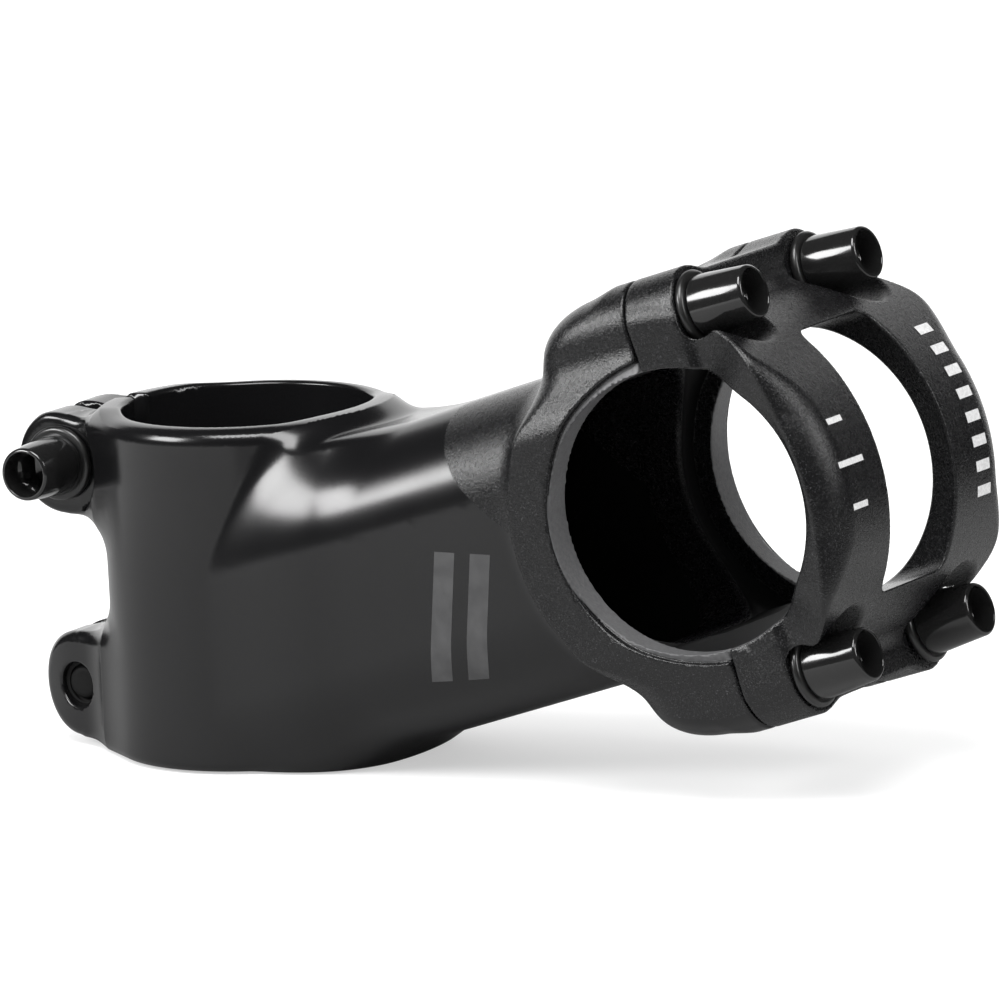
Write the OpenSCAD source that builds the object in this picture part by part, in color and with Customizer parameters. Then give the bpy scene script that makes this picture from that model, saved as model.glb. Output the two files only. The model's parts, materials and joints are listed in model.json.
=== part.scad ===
// Handlebar stem for a threadless steerer: a hollow forged body with a pinch collar at
// the back and a bar clamp at the front, closed by a one-piece faceplate with a window.
// Millimetres. The origin is on the steerer axis, half way up the collar. +Z runs up
// the steerer, +X points forward to the handlebar and +Y to the far side.

/* [Steerer collar] */
// Steerer tube diameter, 1 1/8 inch
steerer_d = 28.6; // [25.4:0.1:31.8]
// Height of the collar
stack_h = 40; // [38:0.5:44]
// Wall of the collar around the steerer
collar_wall = 2.9; // [2.5:0.1:4]
// Width of the slot down the back of the collar
slot_w = 2.6; // [1.5:0.1:3.5]
// Radius on the collar's rims
rim_r = 0.7; // [0.3:0.1:1.2]

/* [Pinch ears] */
// Distance of the pinch bolts behind the steerer axis
pinch_back = 20.8; // [20:0.1:22]
// Height of the pinch bolts above and below the middle of the collar
pinch_rise = 13; // [11.5:0.1:13.5]
// Radius of each ear round its bolt
ear_r = 6.1; // [5:0.1:6.5]
// Half the width across the two ears
ear_half_w = 7.4; // [6.5:0.1:8]
// Radius of the pocket that a pinch bolt's head stands in
ear_pocket_r = 5.5; // [5:0.1:6]
// Radius of the fillet between an ear and the collar
ear_fillet_r = 3; // [2:0.1:3.5]

/* [Extension] */
// Length from the steerer axis to the bar axis, measured along the extension
stem_length = 70; // [66:1:90]
// Rise angle of the extension
rise = 17; // [6:1:17]
// Height at which the extension's axis crosses the steerer axis
axis_z = -6.95; // [-8:0.05:-4]
// Half the width of the extension
ext_half_w = 16.4; // [15:0.1:17]
// Half the height of the extension
ext_half_h = 17.6; // [17:0.1:18]
// How far the extension's section sits above its axis
ext_lift = 0.6; // [0:0.1:1]
// Radius of the extension's long corners
ext_corner = 11; // [8:0.5:12]
// Wall of the extension
ext_wall = 2.7; // [2.2:0.1:3.2]

/* [Bar clamp] */
// Handlebar diameter
bar_d = 31.8; // [31.8, 35]
// Width of the clamp across the bar
clamp_w = 41; // [38:0.5:46]
// Radius of the clamp's side faces about the bar
flange_r = 21; // [20:0.1:22]
// Width of each bar seat beside the cavity's mouth
seat_w = 4.2; // [3:0.1:5]
// Relief in the middle of the bore, so that the bar bears on its two sides
seat_relief = 0.2; // [0.1:0.1:0.5]
// Gap between the body and the faceplate when the bar is gripped
split_gap = 0.2; // [0.2:0.1:1]
// Distance of the faceplate bolts either side of the middle
plate_bolt_y = 12.9; // [12:0.1:13.5]
// Distance of the faceplate bolts above and below the bar axis
plate_bolt_h = 20.8; // [20.5:0.1:21.5]
// Radius of the bosses that carry the faceplate bolts
boss_r = 4.9; // [4.5:0.1:5.2]
// How far the clamp's shoulders reach behind the bar axis
shoulder_back = 13.5; // [12:0.5:17]
// Radius of the shoulders' back corners
shoulder_r = 10; // [8:0.5:11]

/* [Faceplate] */
// Thickness of the faceplate's bands over the bar
band_t = 4.1; // [3:0.1:4.5]
// Radius of the bands' rounded outer edge
band_edge_r = 5; // [3:0.5:5]
// Half the width of the window between the bands, at their front
window_half_w = 7.5; // [6.5:0.5:9]
// How much the window widens on each side on its way to the bar
window_draft = 2.1; // [1:0.1:2.5]
// Half the height of the window
window_half_h = 15; // [13:0.5:15]
// Distance of the bolt seats in front of the bar axis
seat_s = 6.3; // [5.5:0.1:7]
// Radius of the pockets that the bolt heads stand in
pocket_r = 5.2; // [5:0.1:6]

/* [Bolts and washers] */
// Nominal thread diameter
thread_d = 5; // [5, 6]
// Thread pitch
pitch = 0.8; // [0.8, 1]
// Diameter of the head where it meets the washer
head_base_d = 7.2; // [7:0.1:7.6]
// Diameter of the head at its rim
head_rim_d = 6.1; // [5.8:0.1:6.4]
// Length of the head
head_len = 6.9; // [6:0.1:7.5]
// Width of the hexagon socket across its flats
hex_w = 4; // [3, 4]
// Length of the faceplate bolts below the head
plate_bolt_len = 15; // [14:1:16]
// Length of the pinch bolts below the head
pinch_bolt_len = 14; // [13:1:15]
// Outer diameter of the washers
washer_d = 8.6; // [8.2:0.1:9]
// Thickness of the washers
washer_t = 1; // [0.8:0.1:1.2]

/* [Hidden] */
$fn = 96;
eps = 0.05;
steerer_r = steerer_d / 2;
collar_r = steerer_r + collar_wall;
bar_r = bar_d / 2;
half_clamp = clamp_w / 2;
thread_r = thread_d / 2;
// The shank is drawn at its pitch radius, a running fit inside the threads of the body.
shank_r = thread_r - 0.32 * pitch;
tapped_r = shank_r + 0.06;
clear_r = thread_r + 0.25;
// The bar axis in the frame of the steerer.
bar_x = stem_length * cos(rise);
bar_z = axis_z + stem_length * sin(rise);
// The cavity stops this far from the steerer bore and is this much smaller than the body.
cavity_half_w = ext_half_w - ext_wall;
cavity_half_h = ext_half_h - ext_wall;
cavity_corner = ext_corner - ext_wall;
mouth_half_w = half_clamp - seat_w;
mouth_r = flange_r - 2.8;
// The film between a washer and what it bears on, so that neighbours never share a face.
film = 0.03;
head_lift = washer_t + 2 * film;
body_black = [0.05, 0.05, 0.055];
steel_black = [0.09, 0.09, 0.1];
washer_grey = [0.16, 0.16, 0.17];

// Moves its children from the bar's own frame, +X along the extension, to the stem's.
module at_bar() {
  translate([bar_x, 0, bar_z]) rotate([0, -rise, 0]) children();
}

// A rectangle with round corners, centred on the origin.
module rounded_rect(half_x, half_y, corner) {
  square([2 * half_x, 2 * (half_y - corner)], center = true);
  square([2 * (half_x - corner), 2 * half_y], center = true);
  for (sx = [-1, 1], sy = [-1, 1])
    translate([sx * (half_x - corner), sy * (half_y - corner)]) circle(corner, $fn = 48);
}

// A bar along the extension, with the rounded section in the plane across it.
module section_bar(half_w, half_h, corner, from_s, to_s) {
  translate([from_s, 0, ext_lift]) rotate([90, 0, 90])
    linear_extrude(to_s - from_s) rounded_rect(half_w, half_h, corner);
}

// A round rod across the clamp, on the bar's axis.
module cross_rod(radius, width) {
  rotate([90, 0, 0]) cylinder(h = width, r = radius, center = true);
}

// A rod along the extension at one bolt's place.
module bolt_rod(side, level, radius, from_s, to_s) {
  translate([from_s, side * plate_bolt_y, level * plate_bolt_h]) rotate([0, 90, 0])
    cylinder(h = to_s - from_s, r = radius, $fn = 48);
}

// Four copies, at the four faceplate bolts.
module at_plate_bolts(radius, from_s, to_s) {
  for (side = [-1, 1], level = [-1, 1])
    bolt_rod(side, level, radius, from_s, to_s);
}

// The collar's wall turned about the steerer axis, with rounded rims.
module collar() {
  half_h = stack_h / 2;
  rotate_extrude($fn = 128) union() {
    translate([0, -half_h + rim_r]) square([collar_r, stack_h - 2 * rim_r]);
    translate([0, -half_h]) square([collar_r - rim_r, stack_h]);
    for (level = [-1, 1])
      translate([collar_r - rim_r, level * (half_h - rim_r)]) circle(rim_r, $fn = 32);
  }
}

// The outline of the upper ear in the plane of the steerer, before the slot is cut. Its
// web ends inside the collar's wall, and a hollow fillet runs from it into the collar.
module ear_outline() {
  overlap = 0.15;
  web_x = -steerer_r - collar_wall / 4;
  web_top = stack_h / 2 - 2 * overlap;
  fillet_x = -collar_r - ear_fillet_r + overlap;
  fillet_z = pinch_rise - ear_r - ear_fillet_r + overlap;
  translate([-pinch_back, pinch_rise]) circle(ear_r, $fn = 64);
  difference() {
    polygon([[-pinch_back, pinch_rise], [-pinch_back, pinch_rise + ear_r - overlap],
      [-collar_r + 3, web_top], [web_x, web_top], [web_x, fillet_z],
      [fillet_x, fillet_z], [fillet_x, pinch_rise]]);
    translate([fillet_x, fillet_z]) circle(ear_fillet_r, $fn = 48);
  }
}

// Both ears, on both sides of the slot.
module ears() {
  for (level = [0, 1])
    mirror([0, 0, level]) rotate([90, 0, 0])
      linear_extrude(2 * ear_half_w, center = true) ear_outline();
}

// The extension's solid section, cut level with the collar's base.
module extension() {
  intersection() {
    at_bar() section_bar(ext_half_w, ext_half_h, ext_corner, -stem_length, -6);
    translate([0, -half_clamp, -stack_h / 2]) cube([bar_x, clamp_w, 2 * stack_h]);
  }
}

// The part of a disc about the bar's axis that lies between two planes across the extension.
module clamp_disc(radius, from_s, to_s) {
  intersection() {
    cross_rod(radius, clamp_w);
    translate([from_s, -half_clamp, -radius]) cube([to_s - from_s, clamp_w, 2 * radius]);
  }
}

// The block round one level's two bolts, with round edges along the bolts.
module boss_bar(level, from_s, to_s) {
  low_h = bar_r - 4;
  high_h = plate_bolt_h + boss_r;
  translate([from_s, 0, level * (low_h + high_h) / 2]) rotate([90, 0, 90])
    linear_extrude(to_s - from_s)
      rounded_rect(plate_bolt_y + boss_r, (high_h - low_h) / 2, boss_r);
}

// The clamp's profile behind the split, seen along the bar: a block with round back corners.
module shoulder_profile() {
  // A little over the bosses' own height, so that the bosses set the flat on top.
  top_h = plate_bolt_h + boss_r + 0.2;
  for (level = [-1, 1])
    translate([-shoulder_back + shoulder_r, level * (top_h - shoulder_r)])
      circle(shoulder_r, $fn = 64);
  translate([-shoulder_back, -top_h + shoulder_r])
    square([shoulder_back + shoulder_r, 2 * (top_h - shoulder_r)]);
  translate([-shoulder_back + shoulder_r, -top_h]) square([shoulder_back, 2 * top_h]);
}

// The two shoulders that carry the tapped holes, rounded off at the back.
module shoulders() {
  intersection() {
    rotate([90, 0, 0]) linear_extrude(clamp_w, center = true) shoulder_profile();
    for (level = [-1, 1]) boss_bar(level, -shoulder_back - 1, -split_gap / 2);
  }
}

// The space inside the body: the extension's cavity, its mouth and the bar's bore.
module body_hollows() {
  difference() {
    at_bar() union() {
      section_bar(cavity_half_w, cavity_half_h, cavity_corner, -stem_length + 6, eps);
      intersection() {
        cross_rod(mouth_r, 2 * mouth_half_w);
        section_bar(half_clamp, cavity_half_h, cavity_corner, -bar_d, eps);
      }
    }
    cylinder(h = 3 * stack_h, r = collar_r, center = true, $fn = 128);
  }
  at_bar() {
    cross_rod(bar_r, clamp_w + 2);
    cross_rod(bar_r + seat_relief, 2 * mouth_half_w);
  }
  cylinder(h = stack_h + 2, r = steerer_r, center = true, $fn = 128);
}

// The slot down the back of the collar and between the ears.
module pinch_slot() {
  translate([-2 * pinch_back, -slot_w / 2, -stack_h])
    cube([2 * pinch_back, slot_w, 2 * stack_h]);
}

// One pinch bolt's holes: clear in the ear under the head, tapped in the other.
module pinch_holes(side, level) {
  translate([-pinch_back, 0, level * pinch_rise]) rotate([-90 * side, 0, 0]) {
    cylinder(h = ear_half_w + 1, r = clear_r, $fn = 48);
    translate([0, 0, -ear_half_w - 1]) cylinder(h = ear_half_w + 2, r = tapped_r, $fn = 48);
    // Spotface that clears the washer where the ear runs into the collar.
    translate([0, 0, ear_half_w]) cylinder(h = 12, r = ear_pocket_r, $fn = 48);
  }
}

// Hollow forged body: collar, pinch ears, extension and the back half of the bar clamp.
module stem_body() {
  color(body_black) difference() {
    union() {
      collar();
      ears();
      extension();
      at_bar() {
        clamp_disc(flange_r, -flange_r, -split_gap / 2);
        shoulders();
      }
    }
    body_hollows();
    pinch_slot();
    pinch_holes(-1, 1);
    pinch_holes(1, -1);
    at_bar() at_plate_bolts(tapped_r, seat_s - plate_bolt_len, eps);
  }
}

// The solid that both bands are cut from: a drum about the bar's axis with round edges.
module band_drum(outer_r, edge_r) {
  rotate([90, 0, 0]) rotate_extrude($fn = 128) union() {
    translate([0, -half_clamp + edge_r]) square([outer_r, clamp_w - 2 * edge_r]);
    translate([0, -half_clamp]) square([outer_r - edge_r, clamp_w]);
    for (side = [-1, 1])
      translate([outer_r - edge_r, side * (half_clamp - edge_r)]) circle(edge_r, $fn = 64);
  }
}

// The window's opening, a ring round the bar that widens inwards, kept between the webs.
module window(outer_r) {
  margin = 1;
  slope = window_draft / band_t;
  inner_w = window_half_w + window_draft + slope * margin;
  outer_w = window_half_w - slope * margin;
  intersection() {
    rotate([90, 0, 0]) rotate_extrude($fn = 128)
      polygon([[bar_r - margin, -inner_w], [outer_r + margin, -outer_w],
        [outer_r + margin, outer_w], [bar_r - margin, inner_w]]);
    translate([0, -half_clamp, -window_half_h])
      cube([2 * outer_r, clamp_w, 2 * window_half_h]);
  }
}

// One-piece faceplate: two crowned bands joined above and below the window.
module faceplate() {
  outer_r = bar_r + band_t;
  color(body_black) at_bar() difference() {
    union() {
      intersection() {
        band_drum(outer_r, band_edge_r);
        translate([split_gap / 2, -half_clamp - 1, -bar_d])
          cube([bar_d, clamp_w + 2, 2 * bar_d]);
      }
      for (level = [-1, 1]) boss_bar(level, split_gap / 2, seat_s);
    }
    cross_rod(bar_r, clamp_w + 2);
    cross_rod(bar_r + seat_relief, 2 * window_half_w);
    window(outer_r);
    at_plate_bolts(clear_r, -1, seat_s + 1);
    at_plate_bolts(pocket_r, seat_s, seat_s + 12);
  }
}

// Bolt standing along +Z with its head above the origin and its shank below: a tapered
// head with a deep round mouth that leads into the hexagon socket.
module bolt(shank_len) {
  mouth_depth = head_len * 0.45;
  mouth_r = 2.45;
  color(steel_black) difference() {
    rotate_extrude($fn = 64) polygon([[0, -shank_len], [shank_r - 0.5, -shank_len],
      [shank_r, -shank_len + 0.5], [shank_r, 0], [head_base_d / 2 - 0.2, 0],
      [head_base_d / 2, 0.2], [head_rim_d / 2, head_len - 0.3],
      [head_rim_d / 2 - 0.3, head_len], [0, head_len]]);
    translate([0, 0, head_len - mouth_depth]) cylinder(h = mouth_depth + 1, r = mouth_r, $fn = 48);
    translate([0, 0, head_len - mouth_depth - 2.6])
      cylinder(h = 4, r = hex_w / 2 / cos(30), $fn = 6);
  }
}

// Washer lying on the plane Z = 0, with a rounded rim.
module washer() {
  half_t = washer_t / 2;
  color(washer_grey) rotate_extrude($fn = 64) union() {
    translate([clear_r, 0]) square([washer_d / 2 - half_t - clear_r, washer_t]);
    translate([washer_d / 2 - half_t, half_t]) circle(half_t, $fn = 32);
  }
}

// Puts its child's +Z along the extension, at a height s in front of the bar axis.
module at_plate_bolt(side, level, s) {
  at_bar() translate([s, side * plate_bolt_y, level * plate_bolt_h]) rotate([0, 90, 0]) children();
}

// Puts its child's +Z along the pinch bolt, out of the side that its head is on.
module at_pinch_bolt(side, level, y) {
  translate([-pinch_back, side * y, level * pinch_rise]) rotate([-90 * side, 0, 0]) children();
}

module faceplate_bolt(side, level) {
  at_plate_bolt(side, level, seat_s + head_lift) bolt(plate_bolt_len);
}

module faceplate_washer(side, level) {
  at_plate_bolt(side, level, seat_s + film) washer();
}

module pinch_bolt(side, level) {
  at_pinch_bolt(side, level, ear_half_w + head_lift) bolt(pinch_bolt_len);
}

module pinch_washer(side, level) {
  at_pinch_bolt(side, level, ear_half_w + film) washer();
}

stem_body();
faceplate();
faceplate_bolt(-1, 1);  // faceplate_bolt_upper_near
faceplate_bolt(1, 1);  // faceplate_bolt_upper_far
faceplate_bolt(-1, -1);  // faceplate_bolt_lower_near
faceplate_bolt(1, -1);  // faceplate_bolt_lower_far
faceplate_washer(-1, 1);  // faceplate_washer_upper_near
faceplate_washer(1, 1);  // faceplate_washer_upper_far
faceplate_washer(-1, -1);  // faceplate_washer_lower_near
faceplate_washer(1, -1);  // faceplate_washer_lower_far
pinch_bolt(-1, 1);  // pinch_bolt_upper
pinch_bolt(1, -1);  // pinch_bolt_lower
pinch_washer(-1, 1);  // pinch_washer_upper
pinch_washer(1, -1);  // pinch_washer_lower
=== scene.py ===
"""Handlebar stem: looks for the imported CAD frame.

Lengths are in millimetres until a mesh is made.
"""

import json
import math

import bpy
import numpy as np
import openvdb
from mathutils import Matrix, Vector


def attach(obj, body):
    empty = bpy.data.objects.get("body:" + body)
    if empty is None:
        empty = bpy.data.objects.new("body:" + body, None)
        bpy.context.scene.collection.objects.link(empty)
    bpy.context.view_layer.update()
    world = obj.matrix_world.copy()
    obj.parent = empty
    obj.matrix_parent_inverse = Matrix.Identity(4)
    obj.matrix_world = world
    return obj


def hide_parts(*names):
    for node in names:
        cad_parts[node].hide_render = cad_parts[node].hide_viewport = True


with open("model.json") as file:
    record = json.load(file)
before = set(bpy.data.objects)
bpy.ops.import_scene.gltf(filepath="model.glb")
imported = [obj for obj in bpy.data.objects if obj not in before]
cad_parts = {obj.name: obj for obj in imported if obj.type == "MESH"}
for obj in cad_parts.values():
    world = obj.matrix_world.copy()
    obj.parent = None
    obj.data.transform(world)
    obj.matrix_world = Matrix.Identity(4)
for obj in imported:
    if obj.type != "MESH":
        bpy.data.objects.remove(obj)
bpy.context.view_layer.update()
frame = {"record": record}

MM = 0.001
RECORD = frame["record"]
MOUNTS = {mount["name"]: mount for mount in RECORD["mounts"]}
JOINTS = {joint["name"]: joint for joint in RECORD["behaviour"]["joints"]}

STEERER_R = MOUNTS["steerer_clamp"]["dims"]["r_mm"]
STACK_HALF = MOUNTS["steerer_clamp"]["dims"]["length_mm"] / 2
BAR_R = MOUNTS["handlebar_clamp"]["dims"]["r_mm"]
HALF_CLAMP = MOUNTS["handlebar_clamp"]["dims"]["length_mm"] / 2
BAR_X, BAR_Z = (MOUNTS["handlebar_clamp"]["pos_m"][i] / MM for i in (0, 2))
FORWARD = JOINTS["faceplate_off"]["axis"]
RISE_COS = FORWARD[0]
RISE_SIN = FORWARD[2]

COLLAR_R = STEERER_R + 2.9
RIM_R = 16.8  # the collar's top is flat out to here
DIP_R = 17.5
DIP_HEIGHT = 17.6  # the extension's top starts at this height, at that radius
COLLAR_WAIST = 0.3  # how much slimmer the collar is halfway up
PINCH_X, PINCH_Z = (abs(JOINTS["pinch_bolt_upper_turn"]["pos_m"][i]) / MM for i in (0, 2))
EAR_R = 6.09
EAR_HALF_W = 7.4
EAR_LEAN_X = 16.5  # behind this the tapped side leans in
EAR_FLARE_X = 19.5  # ahead of this the ears widen towards the collar
SLOT_HALF = 1.3
EXT_HALF_W = 16.4
EXT_HALF_H = 17.6
EXT_LIFT = 0.6  # the extension's middle stands this far above the bar's axis
EXT_CORNER = 11.0
WALL = 2.7  # thickness of the hollow extension
EXT_BACK = 70.0  # from the bar's axis back to the steerer's
FLANGE_R = 21.0  # outside of the clamp's back half, round the bar
FLANGE_WALL = 2.8
MOUTH_HALF_W = HALF_CLAMP - 4.2
PLATE_BOLT_Y = 12.9
PLATE_BOLT_H = 20.8
BOSS_R = 4.9
BOSS_TOP = PLATE_BOLT_H + BOSS_R
BRIDGE_DIP = 0.9  # between two bolts the metal is this much lower
SEAT_S = 6.3  # the plate screws' seats, ahead of the bar's axis
SPLIT_HALF = 0.1  # half the gap between body and faceplate
BAND_OUTER = BAR_R + 4.1
SHOULDER_R = 10.0
SHOULDER_BACK = 13.5
LEAN_START = 12.0  # the clamp's sides lean in between these two levels
LEAN_END = 19.5
STEP_R = 17.3  # the ring sunk into the clamp's sides round the bore
STEP_S = 1.4  # its middle, ahead of the bar's axis
STEP_DEPTH = 0.9
BORE_RELIEF = 0.2  # the middle of the bar bore is cut this much deeper
PLATE_RELIEF_HALF_W = 7.5
WINDOW_HALF_H = 15.0
EDGE = 0.35  # radius of most machined edges
HOLE_EDGE = 0.3
PITCH = 0.8  # M5 coarse
THREAD_CREST = 2.47
THREAD_DEPTH = 0.42
THREAD_FIT = 0.04  # play between a screw's thread and its hole's
HOLE_R = THREAD_CREST + THREAD_FIT + 0.05
CLEAR_R = 2.75  # clearance hole of an M5 screw
HEAD_POCKET_R = 6.1
RING_POINTS = 72  # points round a screw or washer; a multiple of six for the socket
RINGS_PER_TURN = 8  # rings along one turn of thread
PLATE_SHANK = 15.0
PINCH_SHANK = 14.0
WASHER_T = 1.0
WASHER_R = 4.3
FILM = 0.03  # gap between a washer and what it bears on
FINISH_X = 33.0  # the blasting ends here on the extension's top
FINISH_Z = 23.0  # below this the blasting's end sweeps forward
PRINT_LIFT = 0.02  # height of the printed marks over the metal


# ---------------------------------------------------------------- distance fields

def length2(a, b):
    return np.sqrt(a * a + b * b)


def add_round(a, b, radius):
    """Union of two solids with a hollow fillet between them."""
    reach = length2(np.maximum(radius - a, 0), np.maximum(radius - b, 0))
    return np.maximum(np.minimum(a, b), radius) - reach


def keep_round(a, b, radius):
    """What two solids share, with its edge rounded."""
    reach = length2(np.maximum(a + radius, 0), np.maximum(b + radius, 0))
    return np.minimum(np.maximum(a, b), -radius) + reach


def cut_round(solid, hole, radius):
    """A solid with a hole taken out and the hole's edge rounded."""
    return keep_round(solid, -hole, radius)


def add_soft(a, b, radius):
    """Union of two solids that flow into each other."""
    share = np.clip(0.5 + 0.5 * (b - a) / radius, 0, 1)
    return b + (a - b) * share - radius * share * (1 - share)


def round_box(u, v, half_u, half_v, corner):
    """Distance to a rectangle with round corners."""
    over_u = np.abs(u) - half_u + corner
    over_v = np.abs(v) - half_v + corner
    outside = length2(np.maximum(over_u, 0), np.maximum(over_v, 0))
    return outside + np.minimum(np.maximum(over_u, over_v), 0) - corner


def smooth_step(value, start, end):
    share = np.clip((value - start) / (end - start), 0, 1)
    return share * share * (3 - 2 * share)


def to_clamp(x, z):
    """Coordinates along and across the extension, measured from the bar's axis."""
    along = (x - BAR_X) * RISE_COS + (z - BAR_Z) * RISE_SIN
    across = (z - BAR_Z) * RISE_COS - (x - BAR_X) * RISE_SIN
    return along, across


def collar_field(x, y, z):
    """The collar round the steerer, with a softer top edge than bottom edge."""
    waist = COLLAR_WAIST * (1 - (z / STACK_HALF) ** 2)
    wall = length2(x, y) - COLLAR_R + waist
    edge = 1.2 + 1.0 * smooth_step(z, -5, 5)
    return keep_round(wall, np.abs(z) - STACK_HALF, edge)


def ears_field(x, y, z):
    """The two ears: each flares into the collar and leans in on its tapped side."""
    level = np.abs(z)
    eye = length2(x + PINCH_X, level - PINCH_Z) - EAR_R
    web = round_box(x + PINCH_X / 2 + 3, level - PINCH_Z - 0.1, PINCH_X / 2 - 3, EAR_R - 0.1, 0.3)
    outline = add_soft(eye, web, 0.6)
    tapped_side = np.where(z > 0, y, -y)
    lean = 0.03 * np.maximum(-x - EAR_LEAN_X, 0) ** 2 * (tapped_side > 0)
    flare = 0.08 * np.clip(x + EAR_FLARE_X, 0, 4) ** 2
    return keep_round(outline, np.abs(y) - EAR_HALF_W + lean - flare, 1.2)


def extension_field(y, z, s, h):
    """The extension, cut level with the collar's foot."""
    section = round_box(y, h - EXT_LIFT, EXT_HALF_W, EXT_HALF_H, EXT_CORNER)
    ends = np.maximum(s + 4, -s - EXT_BACK)
    return keep_round(np.maximum(section, ends), -STACK_HALF - z, 1.2)


def boss_field(y, h, half_w, dip):
    """The outline round one level's two bolts, with its bridge a little lower between them."""
    level = np.abs(h)
    eye = length2(np.abs(y) - (half_w - BOSS_R), level - PLATE_BOLT_H) - BOSS_R
    low = BAR_R - 4
    top = BOSS_TOP - dip
    bridge = round_box(y, level - (low + top) / 2, half_w - 1.6, (top - low) / 2, BOSS_R - dip)
    below = np.maximum(np.abs(y) - half_w, low - level)
    return np.where(level < PLATE_BOLT_H, below, add_soft(bridge, eye, 1.5))


def side_half_width(level):
    """Half the body's width at the bar: full beside the bar, leaning in towards the bolts."""
    narrowing = HALF_CLAMP - PLATE_BOLT_Y - BOSS_R
    return HALF_CLAMP - narrowing * smooth_step(level, LEAN_START, LEAN_END)


def clamp_back_field(y, s, h):
    """The back half of the bar clamp: wide at the bar, leaning in to two round shoulders."""
    level = np.abs(h)
    shoulder = round_box(s - 5, level, SHOULDER_BACK + 5, BOSS_TOP + 1.6, SHOULDER_R - 0.5)
    profile = add_soft(length2(s, h) - FLANGE_R, shoulder, 5.8)
    bosses = boss_field(y, h, PLATE_BOLT_Y + BOSS_R, BRIDGE_DIP)
    section = np.where(level < PLATE_BOLT_H, np.abs(y) - side_half_width(level), bosses)
    softness = smooth_step(level, 12, 19) * smooth_step(-s, 0, 6)
    return keep_round(profile, section, 0.35 + 4.0 * softness)


def body_hollow_field(x, y, s, h):
    """The extension's hollow, its mouth into the clamp, the bar bore and the ring sunk round it."""
    half_w, half_h = EXT_HALF_W - WALL, EXT_HALF_H - WALL
    cavity = round_box(y, h - EXT_LIFT, half_w, half_h, EXT_CORNER - WALL)
    cavity = np.maximum(cavity, np.maximum(s, -s - 64))
    mouth = np.maximum(length2(s, h) - FLANGE_R + FLANGE_WALL, np.abs(y) - MOUTH_HALF_W)
    mouth = np.maximum(mouth, np.maximum(np.abs(h - EXT_LIFT) - half_h, s))
    inside = cut_round(add_round(cavity, mouth, 1.0), length2(x, y) - COLLAR_R, 0.9)
    bore = length2(s, h) - BAR_R
    relief = keep_round(bore - BORE_RELIEF, np.abs(y) - MOUTH_HALF_W, 0.1)
    floor = side_half_width(np.abs(h)) - STEP_DEPTH
    step = keep_round(length2(s - STEP_S, h) - STEP_R, floor - np.abs(y), 0.3)
    return np.minimum(np.minimum(inside, step), np.minimum(bore, relief))


def pinch_holes_field(x, y, z):
    """The two pinch bolts' holes and the pockets of their heads; the lower one is turned round."""
    side = np.where(z > 0, -y, y)
    radius = length2(x + PINCH_X, np.abs(z) - PINCH_Z)
    clear = np.maximum(radius - CLEAR_R, -side)
    tapped = np.maximum(radius - HOLE_R, side)
    pocket = keep_round(radius - HEAD_POCKET_R, EAR_HALF_W - side, 0.4)
    return np.minimum(np.minimum(clear, tapped), pocket)


def rim_height(radius):
    """How high the body may stand: flat over the collar, then a dip before the extension's top."""
    falling = STACK_HALF - 0.9 * np.maximum(radius - RIM_R, 0)
    rising = DIP_HEIGHT + 0.36 * (radius - DIP_R)
    return -add_soft(-falling, -rising, 1.5)


def body_field(x, y, z):
    """The whole body: its parts flow together, then its faces, bores, slot and holes are cut."""
    s, h = to_clamp(x, z)
    blend = 0.3 + 10.7 * smooth_step(x, 3, 18)
    solid = add_soft(collar_field(x, y, z), extension_field(y, z, s, h), blend)
    solid = add_soft(solid, ears_field(x, y, z), 5.0)
    solid = keep_round(solid, z - rim_height(length2(x, y)), 2.0)
    solid = add_round(solid, clamp_back_field(y, s, h), 4.0)
    solid = keep_round(solid, s + SPLIT_HALF, EDGE)
    solid = keep_round(solid, -STACK_HALF - z, 0.5)
    solid = cut_round(solid, body_hollow_field(x, y, s, h), EDGE)
    solid = cut_round(solid, length2(x, y) - STEERER_R, 0.6)
    solid = cut_round(solid, np.maximum(np.abs(y) - SLOT_HALF, x + 5), EDGE)
    solid = cut_round(solid, pinch_holes_field(x, y, z), EDGE)
    holes = length2(np.abs(y) - PLATE_BOLT_Y, np.abs(h) - PLATE_BOLT_H) - HOLE_R
    return cut_round(solid, np.maximum(holes, -s - 8.7), HOLE_EDGE)


def band_field(s, y, h):
    """The two bands as one crowned drum: round at the front, square towards the bosses."""
    radius = length2(s, h)
    turn = np.degrees(np.arctan2(np.abs(h), s))
    outer = BAND_OUTER + 1.6 * np.sin(np.radians(turn)) ** 2
    corner = 5.0 - 4.0 * smooth_step(turn, 20, 50)
    lean = 2.7 * smooth_step(turn, 40, 66)
    drum = keep_round(radius - outer, np.abs(y) - HALF_CLAMP + lean, corner)
    ridge = np.minimum(16.8 + 3.2 * (turn / 44) ** 2, 21.5)
    slope = 0.9 / (ridge - BAR_R)
    facet = (np.abs(y) + lean - 19.2 - (radius - BAR_R) * slope) / np.sqrt(1 + slope * slope)
    return keep_round(drum, facet, EDGE)


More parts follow.
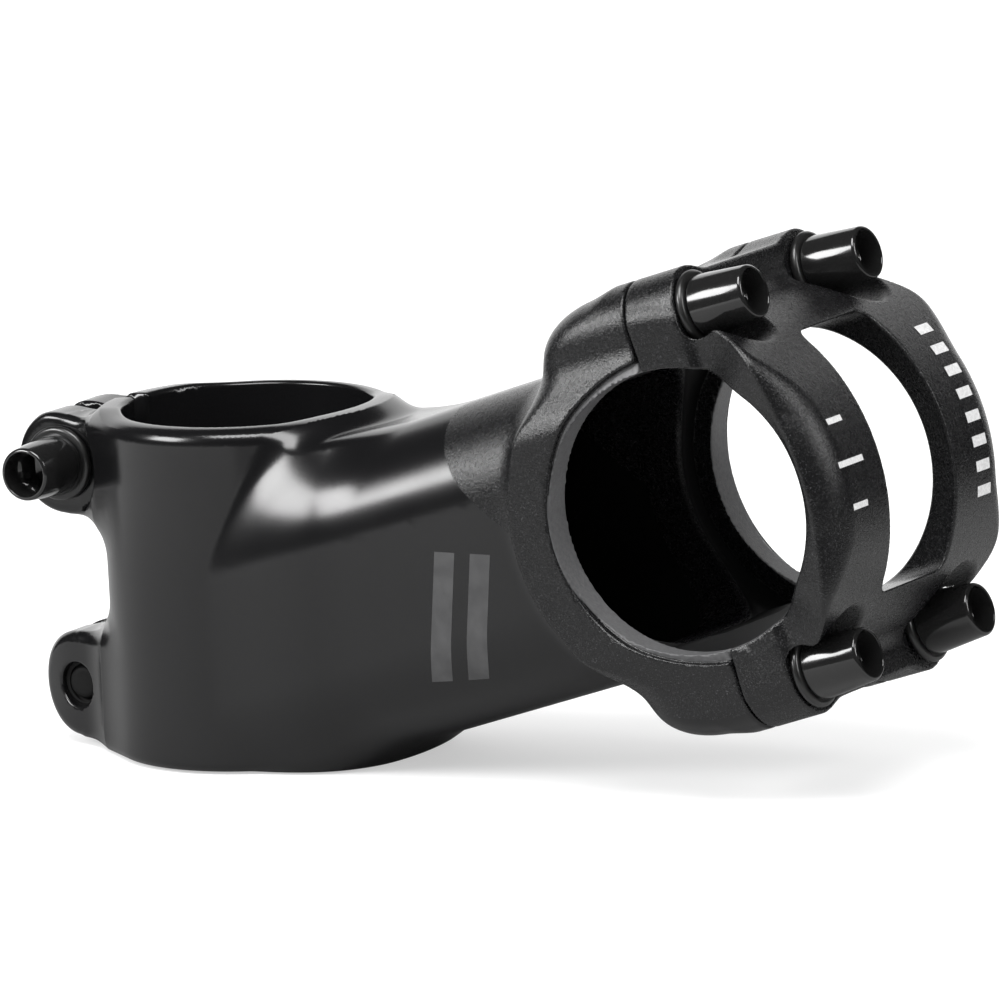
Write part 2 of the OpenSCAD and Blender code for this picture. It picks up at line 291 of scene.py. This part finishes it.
def faceplate_field(s, y, h):
    """The whole faceplate, seen from the bar's axis."""
    taper = 0.17 * (s - SPLIT_HALF)
    boss = boss_field(y, h, PLATE_BOLT_Y + BOSS_R - taper * 0.5, BRIDGE_DIP)
    boss = keep_round(boss, s - SEAT_S, EDGE)
    solid = add_round(band_field(s, y, h), boss, 1.5)
    solid = keep_round(solid, SPLIT_HALF - s, EDGE)
    radius = length2(s, h)
    relief = np.maximum(radius - BAR_R - BORE_RELIEF, np.abs(y) - PLATE_RELIEF_HALF_W)
    solid = cut_round(solid, np.minimum(radius - BAR_R, relief), EDGE)
    half_w = 9.7 - (radius - BAR_R) * 0.53
    window = keep_round((np.abs(y) - half_w) * 0.88, np.abs(h) - WINDOW_HALF_H, 1.3)
    solid = cut_round(solid, np.maximum(window, SPLIT_HALF - s), EDGE)
    bolt = length2(np.abs(y) - PLATE_BOLT_Y, np.abs(h) - PLATE_BOLT_H)
    pocket_r = BOSS_R + 0.08 * np.maximum(s - SEAT_S, 0)
    solid = cut_round(solid, keep_round(bolt - pocket_r, SEAT_S - s, 0.4), EDGE)
    return cut_round(solid, bolt - CLEAR_R, HOLE_EDGE)


# ---------------------------------------------------------------- meshes

def gradient(field, points, step=0.02):
    """The field's slope at each point."""
    slopes = []
    for axis in range(3):
        shift = np.zeros(3)
        shift[axis] = step
        ahead = field(*(points + shift).T)
        behind = field(*(points - shift).T)
        slopes.append((ahead - behind) / (2 * step))
    return np.stack(slopes, axis=1)


def settle(field, points, longest, level=0.0, rounds=4):
    """Moves points to where the field has that level. Returns them with the field's normals."""
    for _ in range(rounds):
        slope = gradient(field, points)
        size = np.maximum((slope ** 2).sum(axis=1), 0.05)
        move = (field(*points.T) - level) / size
        move = np.clip(move, -longest, longest)
        points = points - slope * move[:, None]
    slope = gradient(field, points)
    return points, slope / np.maximum(np.linalg.norm(slope, axis=1), 1e-9)[:, None]


def face_outward(points, normals, faces):
    """The faces, all turned over if they mostly look against the normals."""
    first = np.array([f[:3] for f in faces])
    a, b, c = points[first[:, 0]], points[first[:, 1]], points[first[:, 2]]
    if (np.cross(b - a, c - a) * normals[first[:, 0]]).sum() < 0:
        return [f[::-1] for f in faces]
    return faces


def new_object(name, points, faces, normals=None):
    """A mesh object from points in millimetres."""
    mesh = bpy.data.meshes.new(name)
    mesh.from_pydata((np.asarray(points) * MM).tolist(), [], faces)
    mesh.validate()
    mesh.update()
    mesh.shade_smooth()
    if normals is not None and len(mesh.vertices) == len(normals):
        mesh.normals_split_custom_set_from_vertices(normals.tolist())
    made = bpy.data.objects.new(name, mesh)
    bpy.context.collection.objects.link(made)
    return made


def field_object(name, field, low, high, voxel, adaptivity, turn=None, shift=None):
    """A mesh of the surface where the field is zero, smooth to the field's own normals."""
    counts = [int((b - a) / voxel) + 2 for a, b in zip(low, high)]
    axes = [a + voxel * np.arange(n, dtype=np.float32) for a, n in zip(low, counts)]
    values = np.empty(counts, dtype=np.float32)
    y, z = np.meshgrid(axes[1], axes[2], indexing="ij")
    slab = 16
    for start in range(0, counts[0], slab):
        x = axes[0][start:start + slab, None, None]
        values[start:start + slab] = field(x, y[None], z[None])
    grid = openvdb.FloatGrid(3 * voxel)
    grid.copyFromArray(np.clip(values, -3 * voxel, 3 * voxel))
    points, triangles, quads = grid.convertToPolygons(isovalue=0.0, adaptivity=adaptivity)
    points = points.astype(np.float64) * voxel + np.array(low)
    points, normals = settle(field, points, voxel)
    faces = [tuple(f) for f in triangles.tolist()] + [tuple(f) for f in quads.tolist()]
    faces = face_outward(points, normals, faces)
    if turn is not None:
        points = points @ turn.T + shift
        normals = normals @ turn.T
    return new_object(name, points, faces, normals)


def ring_stack(name, rings, place, closed=False):
    """A solid round an axis from rings of any shape, each given by its radii and heights."""
    count = RING_POINTS
    turns = np.arange(count) * 2 * math.pi / count
    points = []
    for radii, heights in rings:
        radii = np.broadcast_to(radii, count)
        heights = np.broadcast_to(heights, count)
        points.append(np.stack([radii * np.cos(turns), radii * np.sin(turns), heights], axis=1))
    faces = []
    last = len(rings) if closed else len(rings) - 1
    for i in range(last):
        here, above = i * count, ((i + 1) % len(rings)) * count
        for j in range(count):
            k = (j + 1) % count
            faces.append((here + j, here + k, above + k, above + j))
    if not closed:
        faces.append(tuple(reversed(range(count))))
        top = (len(rings) - 1) * count
        faces.append(tuple(range(top, top + count)))
    points = np.concatenate(points)
    turn, shift = place
    made = new_object(name, points @ turn.T + shift, faces)
    made.data.set_sharp_from_angle(angle=math.radians(38))
    return made


def place_on(pos_m, axis, back=0.0):
    """The turn and shift that stand a piece along an axis, its origin that far behind a point."""
    up = Vector(axis).normalized()
    turn = np.array(up.to_track_quat("Z", "Y").to_matrix())
    return turn, np.array(pos_m) / MM - np.array(up) * back


def thread_radius(height, extra=0.0):
    """The radius of an M5 thread round one ring, at a height measured from the head."""
    turns = np.arange(RING_POINTS) / RING_POINTS
    phase = (height / PITCH - turns) % 1.0
    depth = np.clip(np.abs(phase - 0.5) * 2 * 1.25 - 0.125, 0, 1)
    return THREAD_CREST - THREAD_DEPTH * depth + extra


def arc(centre_r, centre_z, radius, start, end, steps):
    """Rings along a round edge, by angle from the outward direction."""
    angles = np.radians(np.linspace(start, end, steps + 1))
    return [(centre_r + radius * math.cos(a), centre_z + radius * math.sin(a)) for a in angles]


def hexagon(width):
    """The radius of a hexagonal socket round one ring."""
    turns = np.arange(RING_POINTS) * 360 / RING_POINTS
    off = (turns + 30) % 60 - 30
    return width / 2 / np.cos(np.radians(off))


def bolt_rings(shank):
    """Rings of a bolt from its tip, up its thread, over the head and down into the socket."""
    head, base_r, rim_r, mouth_r = 6.9, 3.6, 3.05, 2.6
    rings = [(1.2, -shank), (1.6, -shank + 0.04), (1.8, -shank + 0.2), (2.0, -shank + 0.6)]
    step = PITCH / RINGS_PER_TURN
    height = -shank + 1.0
    while height < -0.7:
        rings.append((thread_radius(height), height))
        height += step
    rings += [(2.15, -0.5), (2.3, -0.2), (2.45, 0.0), (base_r - 0.25, 0.0)]
    rings += arc(base_r - 0.25, 0.25, 0.25, -80, 0, 4)
    rings += arc(rim_r - 0.42, head - 0.42, 0.42, 4, 90, 8)
    rings += arc(mouth_r + 0.16, head - 0.16, 0.16, 95, 180, 5)
    rings += [(mouth_r, head - 1.0), (mouth_r, head - 2.2), (mouth_r - 0.05, head - 2.75)]
    socket = hexagon(4.0)
    blend = np.minimum(socket + 0.12, mouth_r - 0.05)
    rings += [(blend, head - 2.95), (socket, head - 3.2), (socket, head - 4.0)]
    rings += [(socket, head - 5.3), (socket * 0.97, head - 5.5), (socket * 0.3, head - 5.9)]
    return rings


def washer_rings():
    half = WASHER_T / 2
    rings = arc(WASHER_R - half, half, half, -90, 90, 10)
    rings += [(CLEAR_R + 0.1, WASHER_T), (CLEAR_R, WASHER_T - 0.1), (CLEAR_R, 0.1), (CLEAR_R + 0.1, 0.0)]
    return rings


def thread_lining(name, place, start, end):
    """The thread cut into one tapped hole, a lining that meshes with its bolt."""
    rings = []
    for height in np.arange(start, end, PITCH / RINGS_PER_TURN):
        rings.append((thread_radius(height, THREAD_FIT), height))
    outer = HOLE_R - 0.01
    rings += [(outer, rings[-1][1]), (outer, start)]
    return ring_stack(name, rings[::-1], place, closed=True)


# ---------------------------------------------------------------- materials

def make_material(name, colour, roughness, **sockets):
    """A material with its even values set on the shader itself."""
    made = bpy.data.materials.new(name)
    made.use_nodes = True
    shader = made.node_tree.nodes["Principled BSDF"]
    shader.inputs["Base Color"].default_value = (*colour, 1)
    shader.inputs["Roughness"].default_value = roughness
    for socket, value in sockets.items():
        shader.inputs[socket.replace("_", " ")].default_value = value
    return made, shader


class Wiring:
    """Short words for the nodes of one material."""

    def __init__(self, material):
        self.tree = material.node_tree
        self.place = self.tree.nodes.new("ShaderNodeTexCoord").outputs["Object"]

    def join(self, value, socket):
        if isinstance(value, (int, float, tuple)):
            socket.default_value = value
        else:
            self.tree.links.new(value, socket)

    def maths(self, operation, *inputs):
        made = self.tree.nodes.new("ShaderNodeMath")
        made.operation = operation
        for value, socket in zip(inputs, made.inputs):
            self.join(value, socket)
        return made.outputs[0]

    def along(self, direction, origin=(0, 0, 0)):
        """Distance along a direction, in millimetres."""
        shift = self.tree.nodes.new("ShaderNodeVectorMath")
        shift.operation = "SUBTRACT"
        self.join(self.place, shift.inputs[0])
        shift.inputs[1].default_value = tuple(v * MM for v in origin)
        dot = self.tree.nodes.new("ShaderNodeVectorMath")
        dot.operation = "DOT_PRODUCT"
        self.join(shift.outputs[0], dot.inputs[0])
        dot.inputs[1].default_value = tuple(v / MM for v in direction)
        return dot.outputs["Value"]

    def noise(self, size_mm, detail=2.0, rough=0.5):
        """Noise with blotches of about that size."""
        made = self.tree.nodes.new("ShaderNodeTexNoise")
        self.join(self.place, made.inputs["Vector"])
        made.inputs["Scale"].default_value = 1 / (size_mm * MM)
        made.inputs["Detail"].default_value = detail
        made.inputs["Roughness"].default_value = rough
        return made.outputs["Fac"]

    def ramp(self, value, start, end, low, high):
        """value carried from one range to another, and held at its ends."""
        made = self.tree.nodes.new("ShaderNodeMapRange")
        for given, socket in zip((value, start, end, low, high), made.inputs):
            self.join(given, socket)
        return made.outputs[0]

    def length2(self, a, b):
        square = self.maths("ADD", self.maths("MULTIPLY", a, a), self.maths("MULTIPLY", b, b))
        return self.maths("SQRT", square)

    def mix(self, share, low, high):
        """One number between two."""
        spread = self.maths("SUBTRACT", high, low)
        return self.maths("MULTIPLY_ADD", spread, share, low)

    def colour(self, share, low, high):
        made = self.tree.nodes.new("ShaderNodeMix")
        made.data_type = "RGBA"
        self.join(share, made.inputs["Factor"])
        for value, socket in ((low, made.inputs[6]), (high, made.inputs[7])):
            self.join(value if not isinstance(value, tuple) else (*value, 1), socket)
        return made.outputs[2]

    def bump(self, height, distance_mm, strength, below=None):
        made = self.tree.nodes.new("ShaderNodeBump")
        self.join(height, made.inputs["Height"])
        made.inputs["Distance"].default_value = distance_mm * MM
        self.join(strength, made.inputs["Strength"])
        if below is not None:
            self.join(below, made.inputs["Normal"])
        return made.outputs["Normal"]


def clamp_axes(wire):
    """Distances along and across the extension, measured from the bar's axis."""
    centre = (BAR_X, 0, BAR_Z)
    s = wire.along((RISE_COS, 0, RISE_SIN), centre)
    h = wire.along((-RISE_SIN, 0, RISE_COS), centre)
    return s, h


def blasted(wire, shader, share, seat, inside):
    """Black anodising: blasted where share is 1, machined grey where seat is 1, and dull and barely
    reflecting inside, as painted shade.
    """
    fine = wire.noise(0.16, 2.0, 0.6)
    grain = wire.noise(0.38, 2.0, 0.55)
    cloud = wire.noise(9.0, 3.0, 0.5)
    speck = wire.ramp(fine, 0.60, 0.74, 0.0, 1.0)
    smooth_rough = wire.ramp(cloud, 0.3, 0.7, 0.19, 0.23)
    blast_rough = wire.ramp(grain, 0.3, 0.7, 0.22, 0.30)
    rough = wire.mix(share, smooth_rough, blast_rough)
    rough = wire.mix(seat, rough, 0.42)
    # Inside, rougher and barely reflecting: painted shade in the clamp's hollow.
    wire.join(wire.mix(inside, rough, 0.6), shader.inputs["Roughness"])
    wire.join(wire.ramp(inside, 0.0, 1.0, 0.5, 0.1), shader.inputs["Specular IOR Level"])
    lit = wire.colour(wire.maths("MULTIPLY", speck, share), (0.004, 0.004, 0.0043), (0.05, 0.05, 0.053))
    grey = wire.colour(grain, (0.04, 0.04, 0.041), (0.12, 0.12, 0.123))
    wire.join(wire.colour(seat, lit, grey), shader.inputs["Base Color"])
    strength = wire.mix(wire.maths("MAXIMUM", share, seat), 0.04, 1.0)
    low = wire.bump(grain, 0.030, strength)
    wire.join(wire.bump(fine, 0.050, strength, low), shader.inputs["Normal"])


def body_material():
    """Smooth behind a line across the extension that sweeps forward down its sides, and blasted ahead."""
    made, shader = make_material("black_anodised_body", (0.006, 0.006, 0.0065), 0.24)
    wire = Wiring(made)
    s, h = clamp_axes(wire)
    y = wire.maths("ABSOLUTE", wire.along((0, 1, 0)))
    radius = wire.length2(s, h)
    x, z = wire.along((1, 0, 0)), wire.along((0, 0, 1))
    drop = wire.maths("MAXIMUM", wire.maths("SUBTRACT", FINISH_Z, z), 0.0)
    edge = wire.maths("MULTIPLY_ADD", wire.maths("MULTIPLY", drop, drop), 0.06, FINISH_X)
    ahead = wire.ramp(wire.maths("SUBTRACT", x, edge), -0.06, 0.06, 0.0, 1.0)
    near_clamp = wire.ramp(radius, FLANGE_R + 2.4, FLANGE_R + 2.3, 0.0, 1.0)
    outside = wire.ramp(y, MOUTH_HALF_W - 0.1, MOUTH_HALF_W, 0.0, 1.0)
    # Inside the clamp, round the bar and its mouth, the metal is made dull as painted shade.
    in_hollow = wire.ramp(radius, FLANGE_R - 2.5, FLANGE_R - 2.6, 0.0, 1.0)
    inside = wire.maths("MULTIPLY", in_hollow, wire.maths("SUBTRACT", 1.0, outside))
    share = wire.maths("SUBTRACT", wire.maths("MAXIMUM", ahead, near_clamp), inside)
    on_bore = wire.ramp(radius, BAR_R + 0.10, BAR_R + 0.06, 0.0, 1.0)
    step_radius = wire.length2(wire.maths("SUBTRACT", s, STEP_S), h)
    on_step = wire.ramp(step_radius, STEP_R - 0.15, STEP_R - 0.25, 0.0, 1.0)
    machined = wire.maths("MAXIMUM", on_bore, on_step)
    seat = wire.maths("MULTIPLY", machined, outside)
    blasted(wire, shader, wire.maths("MAXIMUM", share, 0.0), seat, inside)
    return made


def faceplate_material():
    """Blasted all over, but for the machined bore."""
    made, shader = make_material("black_blasted_faceplate", (0.006, 0.006, 0.0065), 0.42)
    wire = Wiring(made)
    radius = wire.length2(*clamp_axes(wire))
    seat = wire.ramp(radius, BAR_R + 0.10, BAR_R + 0.06, 0.0, 1.0)
    blasted(wire, shader, 1.0, seat, 0.0)
    return made


def steel_material(name, roughness, colour):
    """Black oxide steel, a little worn, and dulled between the ears: there the thread and tip barely
    reflect, a painted shade for the holes they sit in.
    """
    made, shader = make_material(name, (colour,) * 3, roughness, Coat_Weight=0.3, Coat_Roughness=0.08)
    wire = Wiring(made)
    cloud = wire.noise(1.5, 3.0, 0.6)
    fine = wire.noise(0.12, 2.0, 0.5)
    sideways = wire.maths("ABSOLUTE", wire.along((0, 1, 0)))
    # Between the ears the steel is made dull and barely reflecting: painted shade for the thread and tip
    # down in the holes.
    shade_between_ears = wire.ramp(sideways, EAR_HALF_W - 0.5, EAR_HALF_W - 0.6, 0.0, 1.0)
    rough = wire.ramp(cloud, 0.3, 0.7, roughness * 0.8, roughness * 1.35)
    wire.join(wire.mix(shade_between_ears, rough, 0.55), shader.inputs["Roughness"])
    wire.join(wire.ramp(shade_between_ears, 0.0, 1.0, 0.5, 0.08), shader.inputs["Specular IOR Level"])
    wire.join(wire.ramp(shade_between_ears, 0.0, 1.0, 0.3, 0.0), shader.inputs["Coat Weight"])
    wear = wire.ramp(fine, 0.66, 0.8, 0.0, 0.35)
    wire.join(wire.colour(wear, (colour,) * 3, (0.09, 0.09, 0.09)), shader.inputs["Base Color"])
    wire.join(wire.bump(fine, 0.004, 0.5), shader.inputs["Normal"])
    return made


def print_material():
    """Pale grey pad print."""
    made, shader = make_material("pale_print", (0.45, 0.45, 0.45), 0.5)
    wire = Wiring(made)
    worn = wire.ramp(wire.noise(0.3, 3.0, 0.6), 0.35, 0.65, 0.0, 1.0)
    wire.join(wire.colour(worn, (0.36, 0.36, 0.36), (0.52, 0.52, 0.52)), shader.inputs["Base Color"])
    wire.join(wire.bump(wire.noise(0.2), 0.01, 0.6), shader.inputs["Normal"])
    return made


def dim_print_material():
    """Dark grey tone-on-tone print."""
    made, shader = make_material("dark_print", (0.035, 0.035, 0.036), 0.45)
    wire = Wiring(made)
    tone = wire.ramp(wire.noise(2.0, 3.0, 0.5), 0.3, 0.7, 0.0, 1.0)
    wire.join(wire.colour(tone, (0.030, 0.030, 0.031), (0.045, 0.045, 0.046)), shader.inputs["Base Color"])
    wire.join(wire.bump(wire.noise(0.15), 0.006, 0.6), shader.inputs["Normal"])
    return made


# ---------------------------------------------------------------- pieces

def dress(piece, body, slot, material, *nodes):
    """Gives a piece its material and its body, and hides the CAD nodes it stands in for; slot is not used.
    """
    piece.data.materials.append(material)
    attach(piece, body)
    if nodes:
        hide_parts(*nodes)


CLAMP_TURN = np.array([[RISE_COS, 0, -RISE_SIN], [0, 1, 0], [RISE_SIN, 0, RISE_COS]])
CLAMP_SHIFT = np.array([BAR_X, 0, BAR_Z])
VOXEL = 0.28  # grid of the distance fields


def make_body(material):
    low = (-27.5, -21.1, -20.9)
    high = (75.5, 21.1, 39.0)
    piece = field_object("stem_body_look", body_field, low, high, VOXEL, 0.002)
    dress(piece, "stem", "body_black", material, "stem_body")


def make_faceplate(material):
    low = (0.0, -21.0, -26.2)
    high = (21.0, 21.0, 26.2)
    piece = field_object("faceplate_look", faceplate_field, low, high, VOXEL * 0.9, 0.001,
                         CLAMP_TURN, CLAMP_SHIFT)
    dress(piece, "faceplate", "faceplate_black", material, "faceplate")


def make_screw(body, washer_body, node, washer_node, joint, shank, looks):
    """One bolt with its washer, where the record puts the bolt's turn. Returns the bolt's place."""
    place = place_on(joint["pos_m"], joint["axis"])
    bolt = ring_stack(node + "_look", bolt_rings(shank), place)
    dress(bolt, body, "bolt_steel", looks["bolt"], node)
    under = place_on(joint["pos_m"], joint["axis"], WASHER_T + FILM)
    washer = ring_stack(washer_node + "_look", washer_rings(), under, closed=True)
    dress(washer, washer_body, "washer_steel", looks["washer"], washer_node)
    return place


def make_screws(looks):
    for level in ("upper", "lower"):
        for side in ("near", "far"):
            name = f"{level}_{side}"
            joint = JOINTS[f"plate_bolt_{name}_turn"]
            place = make_screw(f"plate_bolt_{name}", f"plate_washer_{name}", f"faceplate_bolt_{name}",
                               f"faceplate_washer_{name}", joint, PLATE_SHANK, looks)
            reach = SEAT_S + WASHER_T + 2 * FILM + SPLIT_HALF
            lining = thread_lining(f"thread_{name}", place, -PLATE_SHANK - 0.6, -reach - 0.5)
            dress(lining, "stem", "body_black", looks["tapped"])
        joint = JOINTS[f"pinch_bolt_{level}_turn"]
        place = make_screw(f"pinch_bolt_{level}", f"pinch_washer_{level}", f"pinch_bolt_{level}",
                           f"pinch_washer_{level}", joint, PINCH_SHANK, looks)
        face = 2 * EAR_HALF_W + WASHER_T + 2 * FILM
        lining = thread_lining(f"thread_pinch_{level}", place, -face + 2.3,
                               -EAR_HALF_W - WASHER_T - SLOT_HALF - 0.4)
        dress(lining, "stem", "body_black", looks["tapped"])


def surface_patch(name, field, spot, level, turn=None, shift=None):
    """A printed stripe on a field's surface: spot(u, v) says where it is, for u and v from 0 to 1."""
    grid_u, grid_v = 5, 24
    points = []
    for v in np.linspace(0, 1, grid_v):
        for u in np.linspace(0, 1, grid_u):
            points.append(spot(u, v))
    points, normals = settle(field, np.array(points), 1.0, level, rounds=8)
    faces = []
    for j in range(grid_v - 1):
        for i in range(grid_u - 1):
            a = j * grid_u + i
            faces.append((a, a + 1, a + grid_u + 1, a + grid_u))
    faces = face_outward(points, normals, faces)
    if turn is not None:
        points, normals = points @ turn.T + shift, normals @ turn.T
    return new_object(name, points, faces, normals)


def tick_spot(side, turn, half_len, half_w):
    """Where one tick lies on its band, at an angle round the bar."""
    def spot(u, v):
        angle = math.radians(turn) + (u - 0.5) * 2 * half_w / BAND_OUTER
        y = side * 14.0 + (v - 0.5) * 2 * half_len
        return np.array([BAND_OUTER * math.cos(angle), y, BAND_OUTER * math.sin(angle)])
    return spot


def bar_spot(side, x):
    """Where one slanted bar lies on the extension's side."""
    start = np.array([x, side * 16.6, -8.4])

    def spot(u, v):
        return start + u * np.array([2.6, 0, 0]) + v * np.array([1.6, 0, 15.5])
    return spot


def make_marks(looks):
    """Plain marks in place of printing: ticks on the bands and slanted bars on the sides."""
    near_scale = ((-14, 1.6, 0.35), (0, 2.6, 0.35), (14, 1.6, 0.35))
    far_scale = [(turn, 1.5, 0.6) for turn in range(-24, 34, 8)]
    for side, word, scale in ((-1, "near", near_scale), (1, "far", far_scale)):
        for i, (turn, half_len, half_w) in enumerate(scale):
            spot = tick_spot(side, turn, half_len, half_w)
            tick = surface_patch(f"tick_{word}_{i}", faceplate_field, spot, PRINT_LIFT,
                                 CLAMP_TURN, CLAMP_SHIFT)
            dress(tick, "faceplate", "faceplate_black", looks["print"])
    for side, word in ((-1, "near"), (1, "far")):
        for i, x in enumerate((32.2, 36.8)):
            bar = surface_patch(f"side_bar_{word}_{i}", body_field, bar_spot(side, x), PRINT_LIFT)
            dress(bar, "stem", "body_black", looks["dim"])


# ---------------------------------------------------------------- stage

def make_floor():
    material, shader = make_material("pale_floor", (0.45, 0.45, 0.45), 0.9, Emission_Strength=0.5)
    shader.inputs["Emission Color"].default_value = (1, 1, 1, 1)
    wire = Wiring(material)
    tone = wire.ramp(wire.noise(60.0, 2.0), 0.3, 0.7, 0.0, 1.0)
    wire.join(wire.colour(tone, (0.445, 0.445, 0.445), (0.455, 0.455, 0.455)), shader.inputs["Base Color"])
    mesh = bpy.data.meshes.new("floor")
    reach = 12.0
    level = -STACK_HALF * MM - 0.0001
    signs = ((-1, -1), (1, -1), (1, 1), (-1, 1))
    corners = [(across * reach, along * reach, level) for across, along in signs]
    mesh.from_pydata(corners, [], [(0, 1, 2, 3)])
    mesh.materials.append(material)
    floor = bpy.data.objects.new("floor", mesh)
    bpy.context.collection.objects.link(floor)
    floor.visible_glossy = False
    make_sheet("sheet", 0.27, 0.0, 0.19, -180, 180, level + 0.00002)
    make_sheet("left_sheet", 0.5, 0.185, 0.275, -180, -76, level + 0.00004)


def make_sheet(name, shade, inner, outer, start, end, level):
    """A matt sheet on the floor that only the object's reflections show: a disc or part of a ring."""
    steps = 96
    turns = np.radians(np.linspace(start, end, steps + 1))
    rows = [[(0.03 + reach * math.cos(a), reach * math.sin(a), level) for a in turns]
            for reach in (inner, outer)]
    faces = [(i, i + steps + 1, i + steps + 2, i + 1) for i in range(steps)]
    mesh = bpy.data.meshes.new(name)
    mesh.from_pydata(rows[0] + rows[1], [], faces)
    mesh.materials.append(make_material(name, (shade, shade, shade), 0.9)[0])
    sheet = bpy.data.objects.new(name, mesh)
    bpy.context.collection.objects.link(sheet)
    sheet.visible_camera = False
    sheet.visible_diffuse = False
    sheet.visible_shadow = False


def make_world():
    """White to the camera and to plain light, and nearly black in reflections."""
    world = bpy.data.worlds.new("studio")
    world.use_nodes = True
    tree = world.node_tree
    seen = tree.nodes["Background"]
    seen.inputs["Color"].default_value = (1, 1, 1, 1)
    seen.inputs["Strength"].default_value = 1.0
    unseen = tree.nodes.new("ShaderNodeBackground")
    unseen.inputs["Color"].default_value = (1, 1, 1, 1)
    unseen.inputs["Strength"].default_value = 0.02
    ray = tree.nodes.new("ShaderNodeLightPath")
    mix = tree.nodes.new("ShaderNodeMixShader")
    tree.links.new(ray.outputs["Is Glossy Ray"], mix.inputs[0])
    tree.links.new(seen.outputs[0], mix.inputs[1])
    tree.links.new(unseen.outputs[0], mix.inputs[2])
    tree.links.new(mix.outputs[0], tree.nodes["World Output"].inputs["Surface"])
    bpy.context.scene.world = world


LIGHT_AIM = Vector((0.03, 0, 0.005))


def direction(azimuth, elevation):
    """The way out from the object: azimuth 0 is towards -Y and a quarter turn is +X."""
    level = math.cos(elevation)
    return Vector((math.sin(azimuth) * level, -math.cos(azimuth) * level, math.sin(elevation)))


def softbox(name, azimuth, elevation, distance, width, height, power):
    """An area light round the object, turned towards its middle."""
    out = direction(math.radians(azimuth), math.radians(elevation))
    light = bpy.data.lights.new(name, "AREA")
    light.shape = "RECTANGLE"
    light.size = width
    light.size_y = height
    light.energy = power
    made = bpy.data.objects.new(name, light)
    made.location = LIGHT_AIM + out * distance
    made.rotation_euler = out.to_track_quat("Z", "Y").to_euler()
    bpy.context.collection.objects.link(made)


def make_lights():
    softbox("left_high", -40, 28, 0.9, 0.38, 0.30, 6.5)
    softbox("over", 18, 64, 0.9, 0.55, 0.45, 9)
    softbox("right", 95, 30, 1.0, 0.25, 0.4, 3)
    softbox("backdrop", 211, 12, 1.5, 2.4, 1.2, 12)


def make_camera():
    """The camera at the photograph's angle: round the object, above it, and slightly rolled."""
    azimuth, elevation, roll = (math.radians(v) for v in (31.05, 10.45, -3.06))
    distance, right_shift, up_shift = 1351.0, -1.885, -9.543
    back = direction(azimuth, elevation)
    right = Vector((math.cos(azimuth), math.sin(azimuth), 0))
    up = back.cross(right)
    turned_right = right * math.cos(roll) + up * math.sin(roll)
    turned_up = up * math.cos(roll) - right * math.sin(roll)
    place = Vector((30, 0, 0)) + back * distance - turned_right * right_shift - turned_up * up_shift
    data = bpy.data.cameras.new("camera")
    data.sensor_width = 36
    data.lens = 432
    data.clip_start = 0.05
    data.clip_end = 60
    camera = bpy.data.objects.new("camera", data)
    matrix = Matrix.Identity(4)
    for column, axis in enumerate((turned_right, turned_up, back)):
        for row in range(3):
            matrix[row][column] = axis[row]
    matrix.translation = place * MM
    camera.matrix_world = matrix
    bpy.context.collection.objects.link(camera)
    bpy.context.scene.camera = camera


def main():
    """Sets the stage and makes every piece."""
    make_camera()
    make_world()
    make_lights()
    make_floor()
    looks = {
        "body": body_material(),
        "plate": faceplate_material(),
        "bolt": steel_material("black_steel", 0.13, 0.008),
        "washer": steel_material("black_washer", 0.34, 0.006),
        "tapped": steel_material("tapped_thread", 0.3, 0.012),
        "print": print_material(),
        "dim": dim_print_material(),
    }
    make_body(looks["body"])
    make_faceplate(looks["plate"])
    make_screws(looks)
    make_marks(looks)
    bpy.context.scene.view_settings.view_transform = "Standard"


main()
